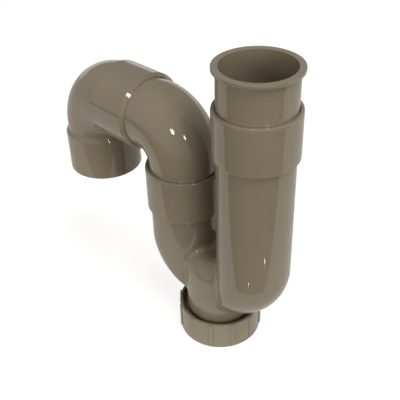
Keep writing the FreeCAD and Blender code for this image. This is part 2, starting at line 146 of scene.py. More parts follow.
def carryProfile(profile, frames, angles, relief=None):
    # Grid of points and normals: place + radius * (outward cos a + sideways sin a). A relief
    # gives an extra radius and its slopes along and round, for ribs and threads.
    points, normals = profile
    place, direction, outward = (part[:, None, :] for part in frames)
    sideways = np.cross(direction, outward)
    cosine, sine = np.cos(angles)[None, :, None], np.sin(angles)[None, :, None]
    radial = outward * cosine + sideways * sine
    around = sideways * cosine - outward * sine
    radius = points[:, 1][:, None] * np.ones((1, len(angles)))
    slopeAlong = slopeRound = np.zeros_like(radius)
    if relief:
        extra, slopeAlong, slopeRound = relief(points[:, 0][:, None], radius, angles[None, :])
        radius = radius + extra
    grid = place + radial * radius[..., None]
    lift = normals[:, 1][:, None, None]
    facing = direction * normals[:, 0][:, None, None] + lift * (
        radial - direction * slopeAlong[..., None]
        - around * (slopeRound / np.maximum(radius, 1e-6))[..., None])
    return grid, facing / np.linalg.norm(facing, axis=2, keepdims=True)


def gridFaces(rows, columns, closedRows, offset=0):
    # Four corners of each face of a grid that is closed round its columns.
    lastRow = rows if closedRows else rows - 1
    row, column = np.meshgrid(np.arange(lastRow), np.arange(columns), indexing="ij")
    row, column = row.ravel(), column.ravel()
    nextRow, nextColumn = (row + 1) % rows, (column + 1) % columns
    faces = np.stack([row * columns + column, row * columns + nextColumn,
                      nextRow * columns + nextColumn, nextRow * columns + column], axis=1)
    return faces + offset


def poleFaces(ring, pole, flip):
    # Fan from a ring of points to one point.
    following = np.roll(ring, -1)
    fan = np.stack([ring, following, np.full_like(ring, pole)], axis=1)
    return fan[:, ::-1] if flip else fan


def zipRings(upper, upperAngles, lower, lowerAngles, flip=False):
    # Triangles between two rings of unequal counts. Both are sorted by angle, and each point in
    # turn closes one triangle with the last points before it.
    upper, lower = upper[np.argsort(upperAngles)], lower[np.argsort(lowerAngles)]
    angles = np.concatenate([np.sort(upperAngles), np.sort(lowerAngles)])
    isUpper = np.arange(len(angles)) < len(upper)
    order = np.argsort(angles, kind="stable")
    isUpper = isUpper[order]
    upperDone = np.cumsum(isUpper) - isUpper
    lowerDone = np.cumsum(~isUpper) - ~isUpper
    lastUpper = upper[(upperDone - 1) % len(upper)]
    lastLower = lower[(lowerDone - 1) % len(lower)]
    following = np.where(isUpper, upper[upperDone % len(upper)], lower[lowerDone % len(lower)])
    faces = np.stack([lastUpper, lastLower, following], axis=1)
    return faces[:, ::-1] if flip else faces


def makePiece(name, points, normals, faceSets, material):
    # Mesh object from points in millimetres, with the exact normals of its formula.
    mesh = bpy.data.meshes.new(name)
    faces = [face for faceSet in faceSets for face in faceSet.tolist()]
    mesh.from_pydata((points * millimetre).tolist(), [], faces)
    mesh.polygons.foreach_set("use_smooth", np.ones(len(mesh.polygons), bool))
    mesh.update()
    mesh.normals_split_custom_set_from_vertices(normals.tolist())
    mesh.materials.append(material)
    piece = bpy.data.objects.new(name, mesh)
    bpy.context.collection.objects.link(piece)
    return piece


def makeTurned(name, profile, frames, material):
    # Closed outline carried along its path as one closed skin.
    grid, facing = carryProfile(profile, frames, evenAngles())
    rows, columns = grid.shape[:2]
    faces = gridFaces(rows, columns, True)
    return makePiece(name, grid.reshape(-1, 3), facing.reshape(-1, 3), [faces], material)


thread = {
    "pitch": 4.0,            # right-hand, on the nozzle and in the cap
    "foot": 0.27,            # where a flank starts and how wide it is, in pitches from the crest
    "flank": 0.14,
    "fade": 2.0,             # length in which it fades out at both ends
    "onRoot": 0.02,          # only points this near the root's radius are lifted
}


def threadRelief(root, crest, low, high, shift, inward):
    # Right-hand thread. Its height is a soft trapezium in (z / pitch - angle / turn), faded out
    # over half a pitch at both ends.
    depth = (root - crest) if inward else (crest - root)
    sign = -1 if inward else 1

    def relief(along, radius, angles):
        phase = (along / thread["pitch"] - angles / fullTurn + shift) % 1.0
        away = np.abs(phase - 0.5)                       # 0 on the crest, 0.5 in the root
        rise = np.clip((thread["foot"] - away) / thread["flank"], 0, 1)
        height = rise * rise * (3 - 2 * rise)
        steep = 6 * rise * (1 - rise) / thread["flank"] * -np.sign(phase - 0.5)
        ends = np.clip((along - low) / thread["fade"], 0, 1)
        ends = ends * np.clip((high - along) / thread["fade"], 0, 1)
        ends = ends * (np.abs(radius - root) < thread["onRoot"])
        extra = sign * depth * height * ends
        alongSlope = sign * depth * steep * ends / thread["pitch"]
        roundSlope = -sign * depth * steep * ends / fullTurn
        return extra, alongSlope, roundSlope

    return relief


trap = {
    "legOut": 25.4,
    "legIn": 23.6,
    "inletRim": -26.3,
    "outletRim": -92.1,
    "socketStep": 2.8,       # a socket's outside ends this far under its stop
    "stepRound": 1.1,
    "stepFillet": 0.3,
    "bandDepth": 1.5,        # shallow bevel round the sockets' mouths
    "bandTop": 27.5,
    "bandRound": 0.2,
    "footBend": 20.5,        # centreline of the bend that a foot's outside follows
    "footMargin": 0.1,       # how much wider that bend is than the leg
    "footDepth": -193.6,     # lowest line of the bends, inside the chamber
    "footRoundOut": 3.0,
    "footRoundIn": 1.2,
    "chamberOut": 24.4,
    "chamberIn": 22.0,
    "chamberTopOut": -150.7,
    "chamberTopIn": -153.1,
    "shoulderOut": 15.0,
    "shoulderIn": 12.6,
    "webOut": 2.4,           # fillet between the legs and the chamber's side
    "webIn": 1.0,
    "crotchOut": 4.5,        # and over its top
    "crotchIn": 2.5,
    "crotchRise": 12.0,      # height in which one fillet turns into the other
    "crotchShare": 1.5,      # share of that height under the chamber's top
    "joinTop": -140.0,       # the legs meet the junction here
    "joinFoot": -197.0,      # and the neck here
    "joinGap": 0.6,          # height of the zips between them
    "joinReach": 28.0,       # the junction's lattice reaches this far from the legs' axes
    "cellOut": 0.95,
    "cellIn": 1.3,
    "polish": 4,             # times that the points are moved onto the skin
    "nozzleEnd": -216.4,
    "nozzleRound": 0.3,
    "nozzleRim": 0.5,
    "threadTop": -204.2,
    "threadRoot": 26.0,
    "threadCrest": 27.3,
    "threadLow": 0.6,        # bare length at the nozzle's end
    "threadHigh": 0.4,       # and at the thread's top
}


def softUnion(first, second, fillet):
    # Union with a round fillet: max(fillet, smaller) - length of what each lacks of the fillet.
    lack = np.hypot(np.maximum(fillet - first, 0), np.maximum(fillet - second, 0))
    return np.maximum(fillet, np.minimum(first, second)) - lack


def legDistance(points, axisX, towards, radius, rounding):
    # Distance to a leg whose foot is cut to the outside of a bend. Where both distances are
    # within the rounding of nought, the ball that rolls inside both gives it: with u and v the
    # distances plus the rounding and c the cosine between the slopes, its reach is
    # sqrt((u^2 + v^2 - 2 u v c) / (1 - c^2)).
    margin, bendRadius = trap["footMargin"], trap["footBend"]
    centreZ = trap["footDepth"] + bendRadius + trap["legOut"] + margin
    x, y = points[..., 0] - axisX, points[..., 1]
    level = np.maximum(np.hypot(x, y), tiny)
    toLeg = level - radius
    across = bendRadius - towards * x
    down = np.minimum(points[..., 2] - centreZ, 0)
    reach = np.maximum(np.hypot(across, down), tiny)
    over = np.maximum(reach - bendRadius, 0)
    tube = np.maximum(np.hypot(over, y), tiny)
    toBend = tube - radius - margin
    cosine = (x / level) * (-towards * across / reach * over / tube) + (y / level) * (y / tube)
    mostCosine = 0.9999
    cosine = np.clip(cosine, -mostCosine, mostCosine)
    u, v = toLeg + rounding, toBend + rounding
    rolls = (u > v * cosine) & (v > u * cosine)
    ball = np.sqrt(np.maximum(u * u + v * v - 2 * u * v * cosine, 0) / (1 - cosine ** 2))
    return np.where(rolls, ball - rounding, np.maximum(toLeg, toBend))


def chamberDistance(points, radius, top, shoulder):
    # Distance to an upright cylinder with a rounded top edge.
    level = np.hypot(points[..., 0] - common["middleX"], points[..., 1]) - radius
    over = points[..., 2] - top
    outside = np.hypot(np.maximum(level + shoulder, 0), np.maximum(over + shoulder, 0))
    return outside + np.minimum(np.maximum(level, over) + shoulder, 0) - shoulder


def junctionDistance(points, side):
    # Distance to the legs joined by the chamber, for the outer or the inner skin. The fillet
    # widens from the chamber's side to its top.
    shape = (trap["leg" + side], trap["footRound" + side])
    inlet = legDistance(points, 0.0, -1, *shape)
    outlet = legDistance(points, common["outletX"], 1, *shape)
    top = trap["chamberTop" + side]
    chamber = chamberDistance(points, trap["chamber" + side], top, trap["shoulder" + side])
    upper = np.clip((points[..., 2] - top) / trap["crotchRise"] + trap["crotchShare"], 0, 1)
    web, crotch = trap["web" + side], trap["crotch" + side]
    fillet = web + (crotch - web) * upper * upper * (3 - 2 * upper)
    return softUnion(np.minimum(inlet, outlet), chamber, fillet)


def slopeOf(points, side, step=0.01):
    # Gradient of that distance by central differences.
    shifts = np.eye(3) * step
    return np.stack([(junctionDistance(points + shift, side)
                      - junctionDistance(points - shift, side)) / (2 * step)
                     for shift in shifts], axis=-1)


def junctionLattice(side):
    # Even lattice of points round the junction.
    reach = trap["joinReach"]
    low = np.array([common["outletX"] - reach, -reach, trap["joinFoot"]])
    high = np.array([reach, reach, trap["joinTop"]])
    counts = np.ceil((high - low) / trap["cell" + side]).astype(int) + 1
    size = (high - low) / (counts - 1)
    axes = [low[axis] + size[axis] * np.arange(counts[axis]) for axis in range(3)]
    return np.stack(np.meshgrid(*axes, indexing="ij"), axis=-1)


def edgeEnds(axis, first, second, cells):
    # Where both ends of one of a cell's four edges along an axis are, for all cells at once.
    others = [other for other in range(3) if other != axis]
    start = [0, 0, 0]
    start[others[0]], start[others[1]] = first, second
    end = list(start)
    end[axis] = 1
    return (tuple(slice(begin[k], begin[k] + cells[k]) for k in range(3))
            for begin in (start, end))


def cellPoints(lattice, value, cells):
    # Sum and count of the places where the skin crosses each cell's edges. With distances p and
    # q at an edge's ends, it crosses at the share p / (p - q).
    total, crossings = np.zeros(cells + (3,)), np.zeros(cells)
    for axis in range(3):
        for first in (0, 1):
            for second in (0, 1):
                start, end = edgeEnds(axis, first, second, cells)
                crossed = (value[start] < 0) != (value[end] < 0)
                span = np.where(crossed, value[start] - value[end], 1)
                share = np.where(crossed, value[start] / span, 0)
                place = lattice[start] + share[..., None] * (lattice[end] - lattice[start])
                total += place * crossed[..., None]
                crossings += crossed
    return total, crossings


def cellFaces(value, number, cells):
    # One face for each crossed edge of the lattice, between the four cells round it.
    below = value < 0
    faces = []
    for axis in range(3):
        one, two = (axis + 1) % 3, (axis + 2) % 3
        span = [slice(None)] * 3
        span[axis] = slice(0, cells[axis])
        span[one], span[two] = slice(1, cells[one]), slice(1, cells[two])
        ahead = list(span)
        ahead[axis] = slice(1, cells[axis] + 1)
        crossed = below[tuple(span)] != below[tuple(ahead)]
        leaving = below[tuple(span)][crossed]
        spots = np.argwhere(crossed) + np.array([0 if k == axis else 1 for k in range(3)])
        quads = []
        for back in ((1, 1), (0, 1), (0, 0), (1, 0)):
            spot = spots.copy()
            spot[:, one] -= back[0]
            spot[:, two] -= back[1]
            quads.append(number[tuple(spot.T)])
        quads = np.stack(quads, axis=1)
        quads[~leaving] = quads[~leaving][:, ::-1]
        faces.append(quads)
    return np.concatenate(faces)


def junctionSkin(side):
    # Skin where the distance is nought: one point in each cell that it crosses, at the mean of
    # its crossings, then moved onto the skin by distance / slope along the slope.
    lattice = junctionLattice(side)
    value = junctionDistance(lattice, side)
    cells = tuple(int(count) - 1 for count in value.shape)
    total, crossings = cellPoints(lattice, value, cells)
    active = crossings > 0
    number = np.full(cells, -1)
    number[active] = np.arange(active.sum())
    faces = cellFaces(value, number, cells)
    points = total[active] / crossings[active][:, None]
    for step in range(trap["polish"]):
        slope = slopeOf(points, side)
        points = points - slope * (junctionDistance(points, side)
                                   / (slope ** 2).sum(axis=1))[:, None]
    slope = slopeOf(points, side)
    layer = np.argwhere(active)[:, 2]
    normals = slope / np.linalg.norm(slope, axis=1, keepdims=True)
    return points, normals, faces, layer == cells[2] - 1, layer == 0


def angleRound(points, axisX):
    return np.arctan2(points[:, 1], points[:, 0] - axisX) % fullTurn


def addTurned(skin, profile, axisX, angles, relief=None):
    # Adds an open turned part to a larger skin and gives its first and last ring of points.
    grid, facing = carryProfile(profile, uprightFrames(profile[0][:, 0], axisX), angles, relief)
    rows, columns = grid.shape[:2]
    first = skin["count"] + np.arange(columns)
    skin["faces"].append(gridFaces(rows, columns, False, skin["count"]))
    skin["points"].append(grid.reshape(-1, 3))
    skin["normals"].append(facing.reshape(-1, 3))
    skin["count"] += rows * columns
    return first, first + (rows - 1) * columns


def socketProfile(rim):
    # Half section of a leg's socket, from the leg's outside over the rim to its inside.
    stop = rim - common["socketDepth"]
    step = stop - trap["socketStep"]
    foot = trap["joinTop"] + trap["joinGap"]
    return roundedProfile([
        (foot, trap["legOut"], 0),
        (step, trap["legOut"], trap["stepFillet"]),
        (step, common["socketOut"], trap["stepRound"]),
        (rim - trap["bandDepth"], common["socketOut"], trap["bandRound"]),
        (rim, trap["bandTop"], common["rimRound"]),
        (rim, common["leadIn"], common["stopRound"]),
        (rim - common["leadInDepth"], common["socketIn"], common["leadInRound"]),
        (stop, common["socketIn"], common["stopRound"]),
        (stop, trap["legIn"], common["stopRound"]),
        (foot, trap["legIn"], 0),
    ], closed=False)


def nozzleProfile():
    # Half section of the nozzle, from the neck's inside round its end to its outside.
    top = trap["joinFoot"] - trap["joinGap"]
    return roundedProfile([
        (top, trap["chamberIn"], 0),
        (trap["nozzleEnd"], trap["chamberIn"], trap["nozzleRound"]),
        (trap["nozzleEnd"], trap["threadRoot"], trap["nozzleRim"]),
        (trap["threadTop"], trap["threadRoot"], trap["nozzleRound"]),
        (trap["threadTop"], trap["chamberOut"], trap["nozzleRound"]),
        (top, trap["chamberOut"], 0),
    ], spacing=0.35, closed=False)


def makeTrapBody(material):
    # Sockets and nozzle as turned skins, zipped to the skins of the junction between them.
    angles = evenAngles()
    outletX, middleX = common["outletX"], common["middleX"]
    skin = {"points": [], "normals": [], "faces": [], "count": 0}
    rings = {}
    for axisX, label in ((0.0, "inlet"), (outletX, "outlet")):
        profile = socketProfile(trap[label + "Rim"])
        rings[label + "Out"], rings[label + "In"] = addTurned(skin, profile, axisX, angles)
    relief = threadRelief(trap["threadRoot"], trap["threadCrest"],
                          trap["nozzleEnd"] + trap["threadLow"],
                          trap["threadTop"] - trap["threadHigh"], 0.0, False)
    rings["nozzleIn"], rings["nozzleOut"] = addTurned(skin, nozzleProfile(), middleX, angles,
                                                      relief)
    for side in ("Out", "In"):
        points, normals, faces, isTop, isFoot = junctionSkin(side)
        inward = side == "In"
        count = skin["count"]
        skin["faces"].append((faces[:, ::-1] if inward else faces) + count)
        for label, axisX, isRing in (
                ("inlet", 0.0, isTop & (points[:, 0] > middleX)),
                ("outlet", outletX, isTop & (points[:, 0] < middleX)),
                ("nozzle", middleX, isFoot)):
            own = np.flatnonzero(isRing)
            upper = (rings[label + side], angles)
            lower = (own + count, angleRound(points[own], axisX))
            if label == "nozzle":
                upper, lower = lower, upper
            skin["faces"].append(zipRings(*upper, *lower, inward))
        skin["points"].append(points)
        skin["normals"].append(-normals if inward else normals)
        skin["count"] += len(points)
    return makePiece("trapBody", np.concatenate(skin["points"]), np.concatenate(skin["normals"]),
                     skin["faces"], material)


sleeve = {
    "collarOut": 27.5,
    "collarFoot": -2.5,
    "collarRound": 0.35,     # round its top
    "collarUnder": 0.8,
    "collarFillet": 0.2,
    "foot": -56.0,
}


def makeInletSleeve(material):
    # Closed half section turned round the inlet's axis.
    foot, inside, outside = sleeve["foot"], common["pipeIn"], common["pipeOut"]
    chamfer = common["chamfer"]
    profile = roundedProfile([
        (foot, outside - chamfer, common["chamferRound"]),
        (foot + chamfer, outside, common["chamferRound"]),
        (sleeve["collarFoot"], outside, sleeve["collarFillet"]),
        (sleeve["collarFoot"], sleeve["collarOut"], sleeve["collarUnder"]),
        (0, sleeve["collarOut"], sleeve["collarRound"]),
        (0, inside, sleeve["collarRound"]),
        (foot, inside, common["endRound"]),
    ])
    return makeTurned("inletSleeve", profile, uprightFrames(profile[0][:, 0]), material)


bend = {
    "foot": -121.8,
    "curveZ": -88.9,         # height where the curve starts
    "radius": 25.5,
    "tip": -127.0,
}


def makeOutletBend(material):
    # Ring section carried up the outlet leg, round a quarter turn and along the level run.
    inside, outside, chamfer = common["pipeIn"], common["pipeOut"], common["chamfer"]
    upright = bend["curveZ"] - bend["foot"]
    level = common["outletX"] - bend["radius"] - bend["tip"]
    length = upright + bend["radius"] * fullTurn / 4 + level
    profile = roundedProfile([
        (0, outside - chamfer, common["chamferRound"]),
        (chamfer, outside, common["chamferRound"]),
        (length - chamfer, outside, common["chamferRound"]),
        (length, outside - chamfer, common["chamferRound"]),
        (length, inside, common["endRound"]),
        (0, inside, common["endRound"]),
    ], spacing=1.0)
    frames = pathFrames(profile[0][:, 0], (common["outletX"], 0, bend["foot"]), (0, 0, 1),
                        (-1, 0, 0), upright, bend["radius"])
    return makeTurned("outletBend", profile, frames, material)


elbow = {
    "mouth": -97.3,
    "mouthBevel": 2.2,       # the level mouth's bevel stands out past the socket's end
    "mouthIn": 25.15,
    "mouthTaper": 1.0,       # and its inside tapers this far into the socket
    "stopDepth": 30.0,
    "stepDepth": 32.2,
    "stepRound": 0.3,
    "stepFillet": 0.25,
    "stepEnd": 0.26,         # the socket's skin ends this far past the step
    "bareLength": 2.2,       # no rows of the tube this near the step, where the curve starts
    "onTube": 0.08,          # a radius over the tube's less this is on the outside
    "curveDepth": 30.8,      # the curve starts this far from the mouth
    "radius": 26.5,
    "tubeOut": 26.2,
    "tubeIn": 23.4,
    "neck": 5.2,
    "neckOut": 25.8,
    "shoulderAbove": 2.3,    # cone from the tube down to the drop socket
    "shoulderBelow": 1.2,
    "bevelRound": 0.4,
    "step": 2.2,
    "dropMouthRound": 0.25,
}


def makeOutletElbow(material):
    # Ring section with both sockets, carried along the run, round a quarter turn and down, as one
    # closed skin. The level socket keeps its straight frame past the curve's start.
    outside, tube, bore = common["socketOut"], elbow["tubeOut"], elbow["tubeIn"]
    socketIn, stopRound, bevelRound = common["socketIn"], common["stopRound"], elbow["bevelRound"]
    neckEnd = elbow["curveDepth"] + elbow["radius"] * fullTurn / 4 + elbow["neck"]
    dropStop = neckEnd + elbow["step"]
    length = dropStop + common["socketDepth"]
    stepDepth = elbow["stepDepth"]
    points, normals = roundedProfile([
        (-elbow["mouthBevel"], elbow["mouthIn"], stopRound),
        (0, outside, bevelRound),
        (stepDepth, outside, elbow["stepRound"]),
        (stepDepth, tube, elbow["stepFillet"]),
        (neckEnd - elbow["shoulderAbove"], elbow["neckOut"], bevelRound),
        (neckEnd + elbow["shoulderBelow"], outside, bevelRound),
        (length, outside, common["rimRound"]),
        (length, common["leadIn"], elbow["dropMouthRound"]),
        (length - common["leadInDepth"], socketIn, common["leadInRound"]),
        (dropStop, socketIn, stopRound),
        (dropStop, bore, stopRound),
        (elbow["stopDepth"], bore, stopRound),
        (elbow["stopDepth"], socketIn, stopRound),
        (elbow["mouthTaper"], socketIn, common["leadInRound"]),
    ], spacing=1.0)
    along = points[:, 0]
    path = ((elbow["mouth"], 0, common["runZ"]), (-1, 0, 0), (0, 0, -1))
    curved = pathFrames(along, *path, elbow["curveDepth"], elbow["radius"])
    straight = pathFrames(along, *path)
    isOutside = points[:, 1] > tube - elbow["onTube"]
    isSocket = (along <= stepDepth + elbow["stepEnd"]) & isOutside
    tooNear = ~isSocket & isOutside & (along > stepDepth) & (
        along < stepDepth + elbow["bareLength"])
    keep = ~tooNear
    frames = tuple(np.where(isSocket[:, None], even, bent)[keep]
                   for even, bent in zip(straight, curved))
    return makeTurned("outletElbow", (points[keep], normals[keep]), frames, material)


cap = {
    "top": -198.1,
    "bottom": -221.1,
    "floorTop": -218.9,
    "wallOut": 30.2,
    "mouthIn": 28.3,
    "mouthDepth": 5.0,
    "threadRoot": 27.6,
    "threadCrest": 26.3,
    "threadLow": 3.0,        # bare height over the floor
    "threadHigh": 0.4,       # and under the mouth
    "ribs": 12,
    "ribHeight": 0.9,
    "ribHalf": 1.5,
    "ribBevel": 0.4,
    "ribFlank": 0.12,        # how far a rib's side leans out at its foot
    "ribFoot": -217.3,
    "ribRise": 0.2,          # height in which the ribs fade in
    "ribColumns": (-0.4, 0.4),
    "edgeStep": 0.035,       # a column this far on both sides of each of a rib's edges
    "gapColumns": (1.9, 13.9, 9),
    "underRound": 1.0,
    "topRound": 0.35,
    "mouthRound": 0.2,
    "floorRound": 0.3,
    "hub": 2.0,              # inside this radius a fan closes the floor's faces
    "hair": 0.01,
}


def ribEdges():
    # Distances of a rib's edges from its middle: top edge, bevel's foot, side's foot.
    half = cap["ribHalf"]
    return np.array([half - cap["ribBevel"], half, half + cap["ribFlank"]])


def ribAngles():
    # Angles that crowd at the ribs' edges: one on each side of every break of the outline.
    breaks = np.concatenate([-ribEdges(), ribEdges()])
    near = (breaks[:, None] + np.array([-cap["edgeStep"], cap["edgeStep"]])).ravel()
    spread = np.linspace(*cap["gapColumns"])
    one = np.concatenate([near, cap["ribColumns"], spread]) / cap["wallOut"]
    starts = np.arange(cap["ribs"]) * fullTurn / cap["ribs"]
    return np.sort((starts[:, None] + one[None, :]).ravel() % fullTurn)


def capRelief(along, radius, angles):
    # Ribs on the outside: a bevelled bar in the angle, faded in at its foot. Thread inside.
    ribTurn = fullTurn / cap["ribs"]
    width = ((angles + ribTurn / 2) % ribTurn - ribTurn / 2) * cap["wallOut"]
    aside = np.abs(width)
    side = cap["ribHeight"] - cap["ribBevel"]
    edges = ribEdges()
    height = np.interp(aside, edges, [cap["ribHeight"], side, 0.0])
    slope = np.where((aside > edges[0]) & (aside < edges[1]), -1.0,
                     np.where((aside > edges[1]) & (aside < edges[2]),
                              -side / cap["ribFlank"], 0.0))
    over = along - cap["ribFoot"]
    rise = np.clip(over / cap["ribRise"], 0, 1)
    ramp = (over > cap["hair"]) & (over < cap["ribRise"] - cap["hair"])
    outside = radius > cap["wallOut"] - cap["hair"]
    extra = np.where(outside, height * rise, 0.0)
    alongSlope = np.where(outside & ramp, height / cap["ribRise"], 0.0)
    roundSlope = np.where(outside, slope * np.sign(width) * rise * cap["wallOut"], 0.0)
    cut = threadRelief(cap["threadRoot"], cap["threadCrest"], cap["floorTop"] + cap["threadLow"],
                       cap["top"] - cap["mouthDepth"] - cap["threadHigh"], 0.5, True)
    threadExtra, threadAlong, threadRound = cut(along, radius, angles)
    inside = radius < cap["threadRoot"] + thread["onRoot"]
    return (extra + threadExtra * inside, alongSlope + threadAlong * inside,
            roundSlope + threadRound * inside)


def makeCleanoutCap(material):
    # Half section turned round the middle axis. The floor's two faces close in a point each.
    top, bottom, out = cap["top"], cap["bottom"], cap["wallOut"]
    foot, rise, mouthFoot = cap["ribFoot"], cap["ribRise"], cap["top"] - cap["mouthDepth"]
    profile = roundedProfile([
        (bottom, cap["hub"], 0),
        (bottom, out, cap["underRound"]),
        (foot, out, 0),
        (foot + rise * 0.1, out, 0),
        (foot + rise * 0.9, out, 0),
        (foot + rise, out, 0),
        (top, out, cap["topRound"]),
        (top, cap["mouthIn"], cap["topRound"]),
        (mouthFoot, cap["mouthIn"], cap["mouthRound"]),
        (mouthFoot, cap["threadRoot"], cap["mouthRound"]),
        (cap["floorTop"], cap["threadRoot"], cap["floorRound"]),
        (cap["floorTop"], cap["hub"], 0),
    ], spacing=0.4, closed=False)
    angles = ribAngles()
    grid, facing = carryProfile(profile, uprightFrames(profile[0][:, 0], common["middleX"]),
                                angles, capRelief)
    rows, columns = grid.shape[:2]
    count = rows * columns
    poles = np.array([[common["middleX"], 0, bottom], [common["middleX"], 0, cap["floorTop"]]])
    points = np.concatenate([grid.reshape(-1, 3), poles])
    normals = np.concatenate([facing.reshape(-1, 3), [[0, 0, -1], [0, 0, 1]]])
    faces = [gridFaces(rows, columns, False),
             poleFaces(np.arange(columns), count, True),
             poleFaces((rows - 1) * columns + np.arange(columns), count + 1, False)]
    return makePiece("cleanoutCap", points, normals, faces, material)


seal = {
    "top": -216.5,
    "foot": -218.9,
    "hole": 22.2,
    "outside": 27.2,
    "round": 0.3,
}


def makeCapSeal(material):
    # Flat ring: closed half section turned round the middle axis.
    profile = roundedProfile([
        (seal["foot"], seal["outside"], seal["round"]),
        (seal["top"], seal["outside"], seal["round"]),
        (seal["top"], seal["hole"], seal["round"]),
        (seal["foot"], seal["hole"], seal["round"]),
    ])
    frames = uprightFrames(profile[0][:, 0], common["middleX"])
    return makeTurned("capSeal", profile, frames, material)


finishes = {                 # grain and wave are noise scales, in turns to the metre
    "taupe": {"colour": (0.26, 0.215, 0.143), "roughness": 0.03, "strength": 0.04,
              "grain": 900.0, "wave": 45.0},
    "rubber": {"colour": (0.03, 0.03, 0.03), "roughness": 0.55, "strength": 0.3,
               "grain": 1500.0, "wave": 200.0},
    "floor": {"colour": (0.5, 0.5, 0.5), "roughness": 0.7, "strength": 0.02,
              "grain": 300.0, "wave": 8.0},
    "card": {"colour": (0.03, 0.028, 0.025), "roughness": 0.8, "strength": 0.02,
             "grain": 300.0, "wave": 8.0},
}
mould = {
    "waveDetail": 2.0,
    "grainDetail": 3.0,
    "shade": (0.95, 1.05),   # least and most shade of the slow wave
    "roughSpread": 0.06,
    "grainShare": 0.15,      # of the grain in the relief
    "depth": 0.0002,
}


def skinGroup():
    # Slow waviness and fine grain of a moulded skin: a shade, a roughness and a normal.
    group = bpy.data.node_groups.new("mouldedSkin", "ShaderNodeTree")
    for name in ("Grain", "Wave", "Strength", "Roughness"):
        group.interface.new_socket(name=name, in_out="INPUT", socket_type="NodeSocketFloat")
    for name, kind in (("Shade", "NodeSocketFloat"), ("Rough", "NodeSocketFloat"),
                       ("Normal", "NodeSocketVector")):
        group.interface.new_socket(name=name, in_out="OUTPUT", socket_type=kind)
    nodes, links = group.nodes, group.links
    inputs, outputs = nodes.new("NodeGroupInput"), nodes.new("NodeGroupOutput")
    place = nodes.new("ShaderNodeTexCoord")
    wave, grain = nodes.new("ShaderNodeTexNoise"), nodes.new("ShaderNodeTexNoise")
    wave.inputs["Detail"].default_value = mould["waveDetail"]
    grain.inputs["Detail"].default_value = mould["grainDetail"]
    for noise, name in ((wave, "Wave"), (grain, "Grain")):
        links.new(place.outputs["Object"], noise.inputs["Vector"])
        links.new(inputs.outputs[name], noise.inputs["Scale"])
    shade = nodes.new("ShaderNodeMapRange")
    shade.inputs["To Min"].default_value, shade.inputs["To Max"].default_value = mould["shade"]
    links.new(wave.outputs["Fac"], shade.inputs["Value"])
    spread, relief = nodes.new("ShaderNodeMath"), nodes.new("ShaderNodeMath")
    spread.operation = relief.operation = "MULTIPLY_ADD"
    spread.inputs[1].default_value = mould["roughSpread"]
    links.new(grain.outputs["Fac"], spread.inputs[0])
    links.new(inputs.outputs["Roughness"], spread.inputs[2])
    relief.inputs[1].default_value = mould["grainShare"]
    links.new(grain.outputs["Fac"], relief.inputs[0])
    links.new(wave.outputs["Fac"], relief.inputs[2])
    bump = nodes.new("ShaderNodeBump")
    bump.inputs["Distance"].default_value = mould["depth"]
    links.new(inputs.outputs["Strength"], bump.inputs["Strength"])
    links.new(relief.outputs[0], bump.inputs["Height"])
    links.new(shade.outputs["Result"], outputs.inputs["Shade"])
    links.new(spread.outputs[0], outputs.inputs["Rough"])
    links.new(bump.outputs["Normal"], outputs.inputs["Normal"])
    return group


def makeMaterial(name, group, finish):
    # Plain plastic, rubber or paint: its colour times the skin's shade.
    material = bpy.data.materials.new(name)
    material.use_nodes = True
    nodes, links = material.node_tree.nodes, material.node_tree.links
    shader = nodes["Principled BSDF"]
    skin = nodes.new("ShaderNodeGroup")
    skin.node_tree = group
    for socket in ("Grain", "Wave", "Strength", "Roughness"):
        skin.inputs[socket].default_value = finish[socket.lower()]
    tint = nodes.new("ShaderNodeVectorMath")
    tint.operation = "SCALE"
    tint.inputs[0].default_value = finish["colour"]
    links.new(skin.outputs["Shade"], tint.inputs["Scale"])
    links.new(tint.outputs["Vector"], shader.inputs["Base Color"])
    links.new(skin.outputs["Rough"], shader.inputs["Roughness"])
    links.new(skin.outputs["Normal"], shader.inputs["Normal"])
    return material


mouldedSkin = skinGroup()
taupe = makeMaterial("taupe", mouldedSkin, finishes["taupe"])
rubber = makeMaterial("rubber", mouldedSkin, finishes["rubber"])
print("materials made")

pieces = [
    (makeTrapBody(taupe), "trap", "trap_body", "taupe"),
    (makeInletSleeve(taupe), "sleeve", "inlet_sleeve", "taupe"),
    (makeOutletBend(taupe), "bend", "outlet_bend", "taupe"),
    (makeOutletElbow(taupe), "elbow", "outlet_elbow", "taupe"),
    (makeCleanoutCap(taupe), "cap", "cleanout_cap", "taupe"),
    (makeCapSeal(rubber), "seal", "cap_seal", "seal"),
]
for piece, body, node, slot in pieces:
    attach(piece, body)
    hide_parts(node)
    print(piece.name, len(piece.data.polygons), "faces")

